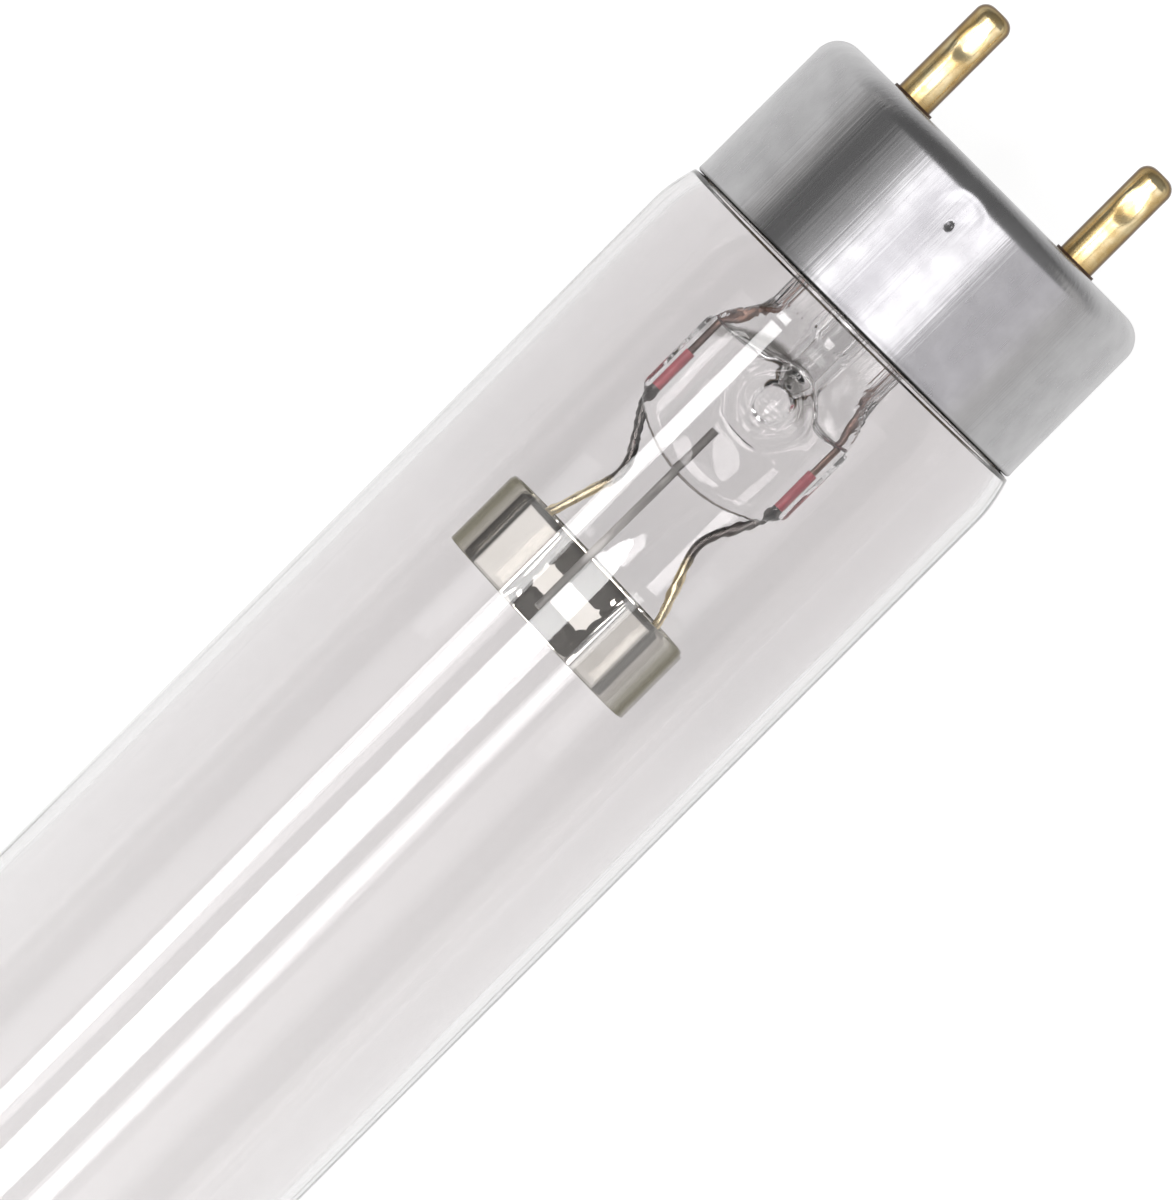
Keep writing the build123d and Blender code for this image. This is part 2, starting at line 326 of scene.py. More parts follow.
def cleaned(mesh, sharp=40):
    """The same mesh with doubles merged, its faces pointing outwards and only its sharp edges kept sharp."""
    shape = bmesh.new()
    shape.from_mesh(mesh)
    bmesh.ops.remove_doubles(shape, verts=shape.verts, dist=1e-4)
    bmesh.ops.dissolve_degenerate(shape, edges=shape.edges, dist=1e-6)
    bmesh.ops.recalc_face_normals(shape, faces=shape.faces)
    shape.to_mesh(mesh)
    shape.free()
    mesh.shade_smooth()
    mesh.set_sharp_from_angle(angle=radians(sharp))
    return mesh


def turned(outline, segments, axis_y=0, closed_section=True):
    """An outline of (x, radius) points turned about a line along X."""
    outline = np.array(outline)
    angle = np.linspace(0, 2 * pi, segments, endpoint=False)[:, None]
    x = np.broadcast_to(outline[:, 0], (segments, len(outline)))
    y = axis_y + outline[:, 1] * np.cos(angle)
    z = outline[:, 1] * np.sin(angle)
    return skin(np.stack([x, y, z], axis=-1), closed_section)


def melted(field, low, high, step):
    """The surface where a distance field is zero, with one point in each small cell that it crosses."""
    pulls = 6
    probe = 0.02
    least_slope = 0.05
    axes = [np.arange(a, b + step, step) for a, b in zip(low, high)]
    inside = field(*np.meshgrid(*axes, indexing="ij")) < 0
    corners = sum(
        inside[i:i - 1 or None, j:j - 1 or None, k:k - 1 or None].astype(np.int8)
        for i in (0, 1) for j in (0, 1) for k in (0, 1)
    )
    crossed = (corners > 0) & (corners < 8)
    number = np.full(crossed.shape, -1)
    number[crossed] = np.arange(crossed.sum())
    points = np.argwhere(crossed) * step + np.array(low) + step / 2
    for _ in range(pulls):
        distance = field(*points.T)
        slope = np.stack([
            (field(*(points + shift).T) - field(*(points - shift).T)) / (2 * shift.max())
            for shift in np.eye(3) * step * probe
        ], axis=-1)
        pull = slope * (distance / np.maximum((slope ** 2).sum(axis=1), least_slope))[:, None]
        points -= np.clip(pull, -step / 2, step / 2)
    quads = []
    for along in range(3):
        start = np.swapaxes(inside, 0, along)
        cells = np.swapaxes(number, 0, along)
        for leaving in (True, False):
            i, j, k = np.nonzero((start[:-1] == leaving) & (start[1:] != leaving))
            kept = (j > 0) & (k > 0) & (j < start.shape[1] - 1) & (k < start.shape[2] - 1)
            i, j, k = i[kept], j[kept], k[kept]
            around = [cells[i, j - 1, k - 1], cells[i, j, k - 1], cells[i, j, k], cells[i, j - 1, k]]
            quads.append(np.stack(around if leaving else around[::-1], axis=-1))
    mesh = bpy.data.meshes.new("melted")
    mesh.from_pydata(points.tolist(), [], np.concatenate(quads).tolist())
    return cleaned(mesh, 180)


def joined(*meshes):
    """Several meshes in millimetres as one."""
    shape = bmesh.new()
    for mesh in meshes:
        shape.from_mesh(mesh)
    return to_mesh(shape)


def to_mesh(shape):
    """A plain mesh from a finished bmesh."""
    mesh = bpy.data.meshes.new("shape")
    shape.to_mesh(mesh)
    shape.free()
    return mesh


def rounded_block(centre, size, edge):
    """A small block with rounded edges."""
    shape = bmesh.new()
    bmesh.ops.create_cube(shape, size=1, matrix=Matrix.Translation(centre) @ Matrix.Diagonal((*size, 1)))
    bmesh.ops.bevel(shape, geom=shape.edges, offset=edge, segments=4, profile=0.5, affect="EDGES")
    return cleaned(to_mesh(shape), 60)


def place(name, mesh, material, slot, *nodes):
    """A finished piece in its material that rides on the lamp and stands for these CAD nodes; the slot is
    not used.
    """
    mesh.transform(Matrix.Scale(MM, 4))
    mesh.materials.clear()
    mesh.materials.append(material)
    piece = bpy.data.objects.new(name, mesh)
    bpy.context.collection.objects.link(piece)
    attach(piece, "root")
    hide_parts(*nodes)


def place_at_ends(name, mesh, material, slot, *nodes):
    """One piece at each end of the lamp, from the mesh of the +X end."""
    for end, turn in ENDS.items():
        copy = mesh.copy()
        copy.transform(turn)
        place(f"{end}_{name}", copy, material, slot, *(f"{end}_{node}" for node in nodes))


# Shader nodes


def add_node(tree, kind, values=None, **settings):
    """A new node with its settings, and its input values by name or number."""
    node = tree.nodes.new(kind)
    for key, value in settings.items():
        setattr(node, key, value)
    for key, value in (values or {}).items():
        if isinstance(value, bpy.types.NodeSocket):
            tree.links.new(value, node.inputs[key])
        else:
            node.inputs[key].default_value = value
    return node


def output(tree, kind, values=None, **settings):
    """The first output of a new node."""
    return add_node(tree, kind, values, **settings).outputs[0]


def calculated(tree, operation, *terms):
    """The result of one step of arithmetic on sockets or numbers."""
    return output(tree, "ShaderNodeMath", dict(enumerate(terms)), operation=operation)


def level(tree, value, low, high, from_low=0.0, from_high=1.0):
    """A mask spread over another range of numbers."""
    return output(tree, "ShaderNodeMapRange", {
        "Value": value, "From Min": from_low, "From Max": from_high, "To Min": low, "To Max": high,
    })


def mix_colours(tree, factor, a, b):
    """Two colours mixed by a mask."""
    node = add_node(tree, "ShaderNodeMix", {"Factor": factor}, data_type="RGBA")
    sockets = {s.identifier: s for s in node.inputs}
    for identifier, value in (("A_Color", a), ("B_Color", b)):
        if isinstance(value, bpy.types.NodeSocket):
            tree.links.new(value, sockets[identifier])
        else:
            sockets[identifier].default_value = (*value, 1)
    return next(s for s in node.outputs if s.identifier == "Result_Color")


def bump(tree, height, distance):
    """A normal from a height in this many metres."""
    return output(tree, "ShaderNodeBump", {"Height": height, "Distance": distance, "Strength": 1.0})


def object_point(tree):
    """Where a point of a piece is, in metres."""
    return add_node(tree, "ShaderNodeTexCoord").outputs["Object"]


def from_middle(tree):
    """How far a point is from the middle of the lamp along X, in metres, the same at both ends."""
    x = add_node(tree, "ShaderNodeSeparateXYZ", {0: object_point(tree)}).outputs["X"]
    return calculated(tree, "ABSOLUTE", x)


def between(tree, start, end):
    """A mask that goes from 0 to 1 between two distances from the middle of the lamp, in millimetres."""
    return level(tree, from_middle(tree), 0.0, 1.0, start * MM, end * MM)


def edge_on_painted_dark(tree, start):
    """A mask for painted shade on a metal where it is seen edge on: a painted dark reflection of its
    surroundings.
    """
    facing = add_node(tree, "ShaderNodeLayerWeight", {"Blend": 0.5}).outputs["Facing"]
    return level(tree, facing, 0.0, 1.0, start, 0.6)


def new_group(name, inputs):
    """A shader group whose inputs are plain numbers, with a Mask as its output."""
    tree = bpy.data.node_groups.new(name, "ShaderNodeTree")
    for label, value in inputs.items():
        tree.interface.new_socket(label, in_out="INPUT", socket_type="NodeSocketFloat").default_value = value
    tree.interface.new_socket("Mask", in_out="OUTPUT", socket_type="NodeSocketFloat")
    return tree, tree.nodes.new("NodeGroupInput").outputs, tree.nodes.new("NodeGroupOutput").inputs


def make_mottle():
    """Soft blotches: Size in metres, and Sharpness from a haze to hard spots."""
    widest = 0.35
    tree, given, result = new_group("mottle", {"Size": 0.003, "Sharpness": 0.3})
    scale = calculated(tree, "DIVIDE", 1.0, given["Size"])
    noise = output(tree, "ShaderNodeTexNoise", {"Vector": object_point(tree), "Scale": scale, "Detail": 5.0})
    half = calculated(tree, "MULTIPLY_ADD", given["Sharpness"], -widest, widest)
    low = calculated(tree, "SUBTRACT", 0.5, half)
    high = calculated(tree, "ADD", 0.501, half)
    tree.links.new(level(tree, noise, 0.0, 1.0, low, high), result["Mask"])
    return tree


def make_drawn_lines():
    """Fine lines along the lamp, as drawing leaves them: Width across and Length along, in metres."""
    tree, given, result = new_group("drawn lines", {"Width": 0.0002, "Length": 0.01})
    across = calculated(tree, "DIVIDE", 1.0, given["Width"])
    along = calculated(tree, "DIVIDE", 1.0, given["Length"])
    scale = output(tree, "ShaderNodeCombineXYZ", {"X": along, "Y": across, "Z": across})
    spread = output(tree, "ShaderNodeVectorMath", {0: object_point(tree), 1: scale}, operation="MULTIPLY")
    noise = output(tree, "ShaderNodeTexNoise", {"Vector": spread, "Scale": 1.0, "Detail": 3.0})
    tree.links.new(noise, result["Mask"])
    return tree


mottle = make_mottle()
drawn_lines = make_drawn_lines()


def mask(tree, group, **values):
    """The Mask of a shared group placed in this material with its own values."""
    node = tree.nodes.new("ShaderNodeGroup")
    node.node_tree = group
    for key, value in values.items():
        node.inputs[key].default_value = value
    return node.outputs["Mask"]


# Materials


def new_material(name, **values):
    """A material with a Principled shader, whose plain values are set by their socket names."""
    material = bpy.data.materials.new(name)
    material.use_nodes = True
    shader = material.node_tree.nodes["Principled BSDF"]
    for key, value in values.items():
        shader.inputs[key.replace("_", " ")].default_value = value
    return material, material.node_tree


def link_shader(tree, **sockets):
    """Links what changes over the surface to the Principled shader's inputs by their names."""
    shader = tree.nodes["Principled BSDF"]
    for key, socket in sockets.items():
        tree.links.new(socket, shader.inputs[key.replace("_", " ")])


def clear_glass(name, ior, shade):
    """Glass with faint drawing lines and haze, whose shadow is an even shade; its tint is still to come."""
    material, tree = new_material(name, Transmission_Weight=1.0, IOR=ior)
    haze = mask(tree, mottle, Size=0.012, Sharpness=0.2)
    lines = mask(tree, drawn_lines, Width=0.002, Length=0.12)
    link_shader(tree, Roughness=level(tree, haze, 0.0, 0.003), Normal=bump(tree, lines, 0.00002))
    glass = tree.nodes["Principled BSDF"].outputs["BSDF"]
    passing = output(tree, "ShaderNodeBsdfTransparent", {"Color": (*shade, 1)})
    shadow = add_node(tree, "ShaderNodeLightPath").outputs["Is Shadow Ray"]
    both = output(tree, "ShaderNodeMixShader", {0: shadow, 1: glass, 2: passing})
    tree.links.new(both, tree.nodes["Material Output"].inputs["Surface"])
    return material, tree, haze


def tube_glass_stained_and_shaded():
    """The tube: greyed unevenly towards its ends, partly by deposits near the electrodes and partly as
    painted shade from the caps and mounts, and cleaner towards the middle.
    """
    material, tree, haze = clear_glass("tube glass", 1.49, (0.80, 0.785, 0.787))
    uneven = level(tree, haze, -0.06, 0.06)
    # Painted shade and deposit together darken the tint towards the cap
    stain_and_shade = calculated(tree, "ADD", between(tree, stain_and_shade_start, stain_and_shade_end), uneven)
    tint = mix_colours(tree, level(tree, stain_and_shade, 0.0, 1.0), (0.865, 0.855, 0.855), (0.785, 0.77, 0.772))
    link_shader(tree, Base_Color=tint)
    return material


def stem_glass_painted_arch():
    """The stem: clear, with painted shade in a dark arch where the press begins."""
    material, tree, _ = clear_glass("stem glass", 1.54, (1.0, 1.0, 1.0))
    parts = add_node(tree, "ShaderNodeSeparateXYZ", {0: object_point(tree)}).outputs
    y = calculated(tree, "MULTIPLY", parts["Y"], calculated(tree, "SIGN", parts["X"]))
    from_apex = calculated(tree, "SUBTRACT", y, painted_arch_lean * MM)
    square = calculated(tree, "MULTIPLY", from_apex, from_apex)
    arch = calculated(tree, "MULTIPLY_ADD", square, painted_arch_fall / MM, painted_arch_top * MM)
    below_rim = calculated(tree, "SUBTRACT", rim * MM, from_middle(tree))
    away = calculated(tree, "ABSOLUTE", calculated(tree, "SUBTRACT", below_rim, arch))
    band = level(tree, away, 1.0, 0.0, painted_arch_thickness / 4 * MM, painted_arch_thickness * 3 / 4 * MM)
    # Painted shade: the arch band darkens the glass's colour near the press
    arch_shade = calculated(tree, "MULTIPLY", band, between(tree, rim - painted_arch_end, rim - painted_arch_fade))
    link_shader(tree, Base_Color=mix_colours(tree, arch_shade, (1.0, 1.0, 1.0), (0.46, 0.455, 0.44)))
    return material


def drawn_aluminium():
    """The cap: thin sheet drawn into a cup, dull, with faint draw lines, handling marks and a painted shadow
    along its rim.
    """
    material, tree = new_material("drawn aluminium", Metallic=1.0)
    dull = mask(tree, mottle, Size=0.002, Sharpness=0.35)
    lines = mask(tree, drawn_lines, Width=0.00025, Length=0.012)
    sheet = mix_colours(tree, dull, (0.50, 0.495, 0.50), (0.42, 0.415, 0.42))
    # Painted shadow: the sheet turns dark grey at its rim, where the cap meets the glass
    rim_shade = between(tree, rim + rim_shade_fade, rim + rim_shade_full)
    link_shader(
        tree,
        Base_Color=mix_colours(tree, rim_shade, sheet, (0.17, 0.165, 0.16)),
        Roughness=level(tree, calculated(tree, "MULTIPLY", dull, lines), 0.24, 0.33),
        Normal=bump(tree, lines, 0.000012),
    )
    return material


def bright_brass():
    """The pins: bright drawn brass, browned where the die and the crimping jaws left their marks, with
    painted shade at their feet and painted dark edges where they are seen edge on.
    """
    material, tree = new_material("bright brass", Metallic=1.0)
    brown = mask(tree, mottle, Size=0.0011, Sharpness=0.6)
    lines = mask(tree, drawn_lines, Width=0.00016, Length=0.004)
    # Painted shade: the brass browns towards each pin's foot at the cap, on top of the real spots from the
    # die and jaws
    foot_shade = between(tree, face + foot_shade_height, face + collar_height)
    marks_and_foot_shade = calculated(tree, "MAXIMUM", brown, foot_shade)
    drawn = mix_colours(tree, marks_and_foot_shade, (0.95, 0.80, 0.48), (0.74, 0.52, 0.22))
    link_shader(
        tree,
        # Painted dark reflection: the brass turns dark brown where it is seen edge on
        Base_Color=mix_colours(tree, edge_on_painted_dark(tree, 0.12), drawn, (0.14, 0.08, 0.025)),
        Roughness=level(tree, marks_and_foot_shade, 0.16, 0.30),
        Normal=bump(tree, lines, 0.00001),
    )
    return material


def mottled(name, size, sharpness, colours, roughness, height=0.0, **values):
    """A finish in blotches of two colours and two roughnesses, which stand out if they have a height."""
    material, tree = new_material(name, **values)
    spots = mask(tree, mottle, Size=size, Sharpness=sharpness)
    tint = mix_colours(tree, spots, *colours)
    link_shader(tree, Base_Color=tint, Roughness=level(tree, spots, *roughness))
    if height:
        link_shader(tree, Normal=bump(tree, spots, height))
    return material


def brown_phenolic():
    """The insulating plate: pressed brown laminate with fine filler specks."""
    colours = (0.10, 0.045, 0.02), (0.19, 0.10, 0.05)
    return mottled("brown phenolic", 0.0004, 0.5, colours, (0.38, 0.6), height=0.00002, IOR=1.58)


def basing_cement():
    """The cement: a baked resin and chalk paste, pale brown and grainy."""
    colours = (0.46, 0.36, 0.24), (0.60, 0.51, 0.38)
    return mottled("basing cement", 0.0005, 0.6, colours, (0.8, 0.95), height=0.0001)


def plain_copper():
    """The outer leads: soft copper, browned by sealing."""
    colours = (0.34, 0.21, 0.16), (0.15, 0.10, 0.09)
    return mottled("plain copper", 0.0015, 0.5, colours, (0.25, 0.5), Metallic=1.0)


def red_seal():
    """The seal wires: borated copper, brick red under the glass that wets it."""
    colours = (0.72, 0.15, 0.18), (0.52, 0.08, 0.11)
    return mottled("red seal wire", 0.0008, 0.4, colours, (0.25, 0.45), Coat_Weight=0.6, Coat_Roughness=0.05)


def coated_tungsten():
    """The coil: tungsten under a chalky white emitter coating that is thin in places."""
    colours = (0.72, 0.71, 0.68), (0.30, 0.29, 0.29)
    return mottled("coated tungsten", 0.0003, 0.6, colours, (0.85, 0.45), height=0.00003)


def bright_mercury():
    """The drop of mercury, with a faint dull film."""
    colours = (0.80, 0.80, 0.81), (0.62, 0.62, 0.63)
    return mottled("bright mercury", 0.0006, 0.3, colours, (0.03, 0.12), Metallic=1.0)


def lead_nickel():
    """The inner leads: nickel painted near black down from the press and pale warm gold further down, a
    painted reflection of what the wire mirrors.
    """
    material, tree = new_material("lead nickel", Metallic=1.0)
    scale = mask(tree, mottle, Size=0.002, Sharpness=0.1)
    # Painted reflection: the inner lead is near black down from the press and pale warm gold further on
    dark_run = between(tree, rim - painted_lead_dark_end, rim - painted_lead_dark_start)
    dark = mix_colours(tree, scale, (0.11, 0.105, 0.10), (0.22, 0.20, 0.19))
    link_shader(
        tree,
        Base_Color=mix_colours(tree, dark_run, (0.86, 0.74, 0.50), dark),
        Roughness=level(tree, scale, 0.18, 0.38),
    )
    return material


def matt_nickel():
    """The support wire: nickel under a matt grey skin of oxide, darker by the seal and the weld."""
    material, tree = new_material("matt nickel")
    scale = mask(tree, mottle, Size=0.002, Sharpness=0.1)
    sealed = between(tree, rim - support_heat_end, rim - support_heat_start)
    welded = between(tree, rim - support_weld_start, rim - support_weld_end)
    dark_run = calculated(tree, "MAXIMUM", sealed, welded)
    link_shader(
        tree,
        Base_Color=mix_colours(tree, dark_run, (0.86, 0.85, 0.82), (0.34, 0.335, 0.32)),
        Roughness=level(tree, scale, 0.5, 0.65),
    )
    return material


def shield_nickel():
    """The ring: bright rolled nickel strip, with a straw tint from the warmth of the running lamp and
    painted dark olive edges where it is seen edge on.
    """
    material, tree = new_material("shield nickel", Metallic=1.0)
    tint = mask(tree, mottle, Size=0.004, Sharpness=0.3)
    wave = mask(tree, mottle, Size=0.0045, Sharpness=0.0)
    straw = mix_colours(tree, tint, (0.84, 0.82, 0.78), (0.74, 0.715, 0.66))
    link_shader(
        tree,
        # Painted dark reflection: the nickel turns dark olive where it is seen edge on
        Base_Color=mix_colours(tree, edge_on_painted_dark(tree, 0.15), straw, (0.22, 0.205, 0.13)),
        Roughness=level(tree, tint, 0.02, 0.045),
        Normal=bump(tree, wave, 0.000006),
    )
    return material


tube_glass = tube_glass_stained_and_shaded()
stem_glass = stem_glass_painted_arch()
aluminium = drawn_aluminium()
brass = bright_brass()
phenolic = brown_phenolic()
cement = basing_cement()
copper = plain_copper()
seal = red_seal()
nickel = lead_nickel()
grey_nickel = matt_nickel()
tungsten = coated_tungsten()
strip_nickel = shield_nickel()
mercury = bright_mercury()


# Glass tube


def make_tube():
    """The tube's wall: straight, rounded in towards the rim, then stepped down to the neck in the cap."""
    curve_radius = shoulder_length ** 2 / (2 * shoulder_drop)
    bend_steps = np.linspace(0, 1, shoulder_loops)

    def wall(radius, neck, step_x, steep, bend, back_bend):
        """Points of one side of the wall, from the straight tube over the step to the neck."""
        start = rim - step_from_rim - shoulder_length
        run = bend_steps * (step_x - start)
        curve = [(start + x, radius - x ** 2 / (2 * curve_radius)) for x in run]
        slope = (step_x - start) / curve_radius
        turn_in = arc((step_x, curve[-1][1] - bend), bend, pi / 2 - slope, pi / 2 - steep, 6)
        x = turn_in[-1][0] + (turn_in[-1][1] - neck) / tan(steep)
        turn_back = arc((x + back_bend, neck + back_bend), back_bend, -pi / 2 - steep, -pi / 2, 6)
        return [(start - x, radius) for x in loops_before_shoulder] + curve + turn_in + turn_back

    inner_radius = tube_radius - tube_wall
    inner_neck = neck_radius - tube_wall
    outer_step = rim - step_from_rim - step_bend
    outside = wall(tube_radius, neck_radius, outer_step, step_slope, step_bend, neck_bend)
    inside = wall(inner_radius, inner_neck, outer_step - step_wall, inner_slope, inner_bend, inner_bend)
    half = [*outside, (neck_end, neck_radius), (neck_end, inner_neck), *reversed(inside)]
    outline = half + [(-x, r) for x, r in reversed(half)]
    place("tube", turned(outline, tube_sides), tube_glass, "tube_glass", "glass_tube")


# Cap shell


def make_cap():
    """The drawn cup: rounded end with a long opening, a spread rim and two punched stake marks."""
    spin = np.linspace(0, 2 * pi, cap_sides, endpoint=False)
    angle = (spin + stake_crowding * np.sin(2 * spin))[:, None]
    stake_x = face - stake_from_face
    dish_start = stake_x - stake_reach
    lip_end = rim + rim_lip_length
    # Loops along the wall, close together at the rounded rim and at the stake marks
    wall_x = np.concatenate([
        rim + rim_round * (1 - np.sin(np.linspace(pi / 2, 0, 8))),
        np.linspace(rim + 1.5 * rim_round, lip_end, 5),
        np.linspace(lip_end + 0.4, dish_start - 0.1, 5),
        np.linspace(dish_start, face - cap_corner, 34),
    ])
    corner = np.linspace(0, pi / 2, 25)[1:]
    reach = np.linspace(0, 1, 9)[1:]

    def side(radius, end, corner_radius, edge_round):
        """One side of the sheet, from the rim over the corner to the opening: x and radius at each angle."""
        corner_x = end - corner_radius + corner_radius * np.sin(corner)
        sheet_x = np.concatenate([wall_x - (face - end) * smooth(stake_x, face, wall_x), corner_x])
        spread = rim_spread * (1 - smooth(rim, lip_end, wall_x))
        from_round = np.clip(rim + edge_round - wall_x, 0, None)
        rounded = edge_round - np.sqrt(edge_round ** 2 - from_round ** 2)
        sheet_r = np.concatenate([radius + spread - rounded, radius - corner_radius * (1 - np.cos(corner))])
        sheet_r = sheet_r[None, :] - dished(sheet_x[None, :] - stake_x, radius, angle)
        face_r = sheet_r[:, -1:] * (1 - reach) + opening_edge(angle) * reach
        x = np.concatenate([sheet_x, np.full(len(reach), end)])
        return np.broadcast_to(x, (len(angle), len(x))), np.concatenate([sheet_r, face_r], axis=1)

    outer_x, outer_r = side(cap_radius, face, cap_corner, rim_round)
    inner_x, inner_r = side(cap_radius - cap_wall, face - cap_wall, cap_corner - cap_wall, 0.0)
    x = np.concatenate([outer_x, inner_x[:, ::-1]], axis=1)
    r = np.concatenate([outer_r, inner_r[:, ::-1]], axis=1)
    mesh = skin(np.stack([x, r * np.cos(angle), r * np.sin(angle)], axis=-1))
    place_at_ends("cap", mesh, aluminium, "cap_aluminium", "cap_shell")


def opening_edge(angle):
    """How far the edge of the long opening is from the axis at each angle."""
    half_flat = (opening_length - opening_width) / 2
    end_radius = opening_width / 2
    across = np.abs(np.cos(angle))
    up = np.abs(np.sin(angle))
    straight = end_radius / np.maximum(up, 1e-6)
    inside = end_radius ** 2 - (half_flat * up) ** 2
    rounded = half_flat * across + np.sqrt(np.maximum(inside, 0))
    return np.where(straight * across <= half_flat, straight, rounded)


def dished(along, radius, angle):
    """How deep a stake mark is, by the distance along the cap and round it from the punch."""
    around = radius * np.minimum(np.abs(angle - pi / 2), np.abs(angle - 3 * pi / 2))
    towards_face = smooth(-stake_blend, stake_blend, along)
    away = np.hypot(along, around * stake_stretch)
    flat = stake_flat * stake_radius * towards_face
    dish = stake_depth * (1 - smooth(flat, stake_reach + (stake_radius - stake_reach) * towards_face, away))
    prick = prick_depth * (1 - smooth(prick_point, prick_radius, np.hypot(along + prick_below, around)))
    return dish + prick


# Contact pins


def make_pins():
    """Bright hollow pins, rounded at the tip and pinched on two sides to grip the lead."""
    back = face - plate_depth
    shaft = np.linspace(pin_tip - pin_tip_round, face + collar_height, 62)
    outline = [(pin_tip, 0)]
    outline += arc((pin_tip - pin_tip_round, pin_radius - pin_tip_round), pin_tip_round, 0, pi / 2, 10)
    outline += [(x, pin_radius) for x in shaft[1:]]
    outline += [
        (face + collar_height, pin_shank_radius),
        (back, pin_shank_radius),
        (back, pin_flange_radius),
        (back - pin_flange_thickness, pin_flange_radius),
        (back - pin_flange_thickness, 0),
    ]
    outline = np.array(outline)
    angle = np.linspace(0, 2 * pi, pin_sides, endpoint=False)[:, None]
    x = np.broadcast_to(outline[:, 0], (pin_sides, len(outline)))
    across = outline[:, 1] * np.cos(angle)
    up = outline[:, 1] * np.sin(angle)
    along = (x - pin_tip + crimp_from_tip) / (crimp_length / 2)
    pinch = 1 - smooth(crimp_full, crimp_fade, np.hypot(along, across / (crimp_width / 2)))
    up = up - np.sign(up) * crimp_depth * pinch * (np.abs(up) > crimp_above * pin_radius)
    for number, side in ((1, 1), (2, -1)):
        mesh = skin(np.stack([x, across + side * pin_y, up], axis=-1), closed_section=False)
        place_at_ends(f"pin_{number}", mesh, brass, "pin_brass", f"contact_pin_{number}")


# Stem


def stem_field(t, y, z):
    """Distance to the glass of a stem, melted together with its exhaust tube; t runs down from the rim."""
    flat = smooth(press_shoulder - press_lead, press_start, t)
    pressed = smooth(flatten_start, flatten_end, t)
    from_press = y - press_lean * flat
    flare_length = flare_root - rim + neck_end - stem_wall
    opened = np.clip((flare_root - t) / flare_length, 0, flare_limit) ** flare_power
    opening = (neck_radius - tube_wall - stem_radius) * opened
    half_width = stem_radius + (press_width / 2 - stem_radius) * flat + opening
    half_depth = stem_radius + (press_thickness / 2 - stem_radius) * pressed + opening
    first, second = (np.sin(across * y + along * t) for across, along in ripple_waves)
    half_depth = half_depth + press_ripple * flat * first * second
    power = 2 + press_squareness * flat

    def section(wall, end):
        """Distance to the stem's form, this far inside its outer wall and domed at its end."""
        a = half_width - wall
        b = np.maximum(half_depth - wall, cavity_least)
        around = (np.abs(from_press / a) ** power + np.abs(z / b) ** power) ** (1 / power)
        around = np.hypot(around, np.maximum(t - end + dome_length, 0) / dome_length)
        return (around - 1) * np.minimum(np.minimum(a, b), dome_length)

    tongue = np.hypot(np.maximum(t - press_end + tongue_radius, 0), from_press) - tongue_radius
    body = soft_max(section(0.0, press_end + past_press), tongue, melt["tongue"])
    body = soft_max(body, rim - neck_end - t, melt["flare end"])

    from_arch = y - arch_lean
    fall = np.where(from_arch > 0, arch_falls[1], arch_falls[-1]) * from_arch ** 2
    hollow = section(stem_wall, cavity_end + arch_most * np.tanh(fall / arch_most))
    glass = soft_max(body, -hollow, melt["hollow"])

    round_axis = np.hypot(y, z)
    taper = smooth(exhaust_tip, exhaust_tip + exhaust_taper, t)
    exhaust = round_axis - exhaust_nub_radius - (exhaust_radius - exhaust_nub_radius) * taper
    exhaust = exhaust - exhaust_swelling * smooth(cavity_end, flatten_end, t)
    exhaust = soft_max(exhaust, t - exhaust_end, melt["exhaust end"])
    exhaust = soft_max(exhaust, exhaust_tip - t, melt["exhaust end"])
    glass = soft_min(glass, exhaust, melt["exhaust"])

    from_hole = np.hypot(t - blow_hole, y)
    lip = np.hypot(from_hole - lip_radius, z - half_depth - lip_height) - lip_thickness
    glass = soft_min(glass, lip, melt["lip"])
    bore_end = np.clip(t, exhaust_tip + exhaust_taper + bore_start, blow_hole)
    bore = np.hypot(round_axis, t - bore_end) - exhaust_bore_radius
    funnel = exhaust_bore_radius + (blow_hole_radius - exhaust_bore_radius) * z / half_depth
    hole = soft_max(from_hole - np.clip(funnel, funnel_least, funnel_most), -z, melt["hole back"])
    return soft_max(soft_max(glass, -bore, melt["bore"]), -hole, melt["hole"])


def make_stem():
    """The stem: flare, tube, flattened press and exhaust tube, melted into one piece of glass."""
    reach = neck_radius - tube_wall + stem_margin
    low = (exhaust_tip - stem_margin, -reach, -reach)
    high = (press_end + stem_margin, reach, reach)
    mesh = melted(stem_field, low, high, stem_cell)
    mesh.transform(Matrix.Translation((rim, 0, 0)) @ Matrix.Diagonal((-1, 1, 1, 1)))
    mesh.flip_normals()
    place_at_ends("stem", mesh, stem_glass, "stem_glass", "glass_stem", "exhaust_tube")


# Wires, made by geometry nodes


def new_geometry_tree(name, inputs):
    """A geometry tree with these named inputs and a Material."""
    tree = bpy.data.node_groups.new(name, "GeometryNodeTree")
    tree.interface.new_socket("Geometry", in_out="INPUT", socket_type="NodeSocketGeometry")
    for label, kind in {**inputs, "Material": "Material"}.items():
        tree.interface.new_socket(label, in_out="INPUT", socket_type=f"NodeSocket{kind}")
    tree.interface.new_socket("Geometry", in_out="OUTPUT", socket_type="NodeSocketGeometry")
    return tree, tree.nodes.new("NodeGroupInput").outputs


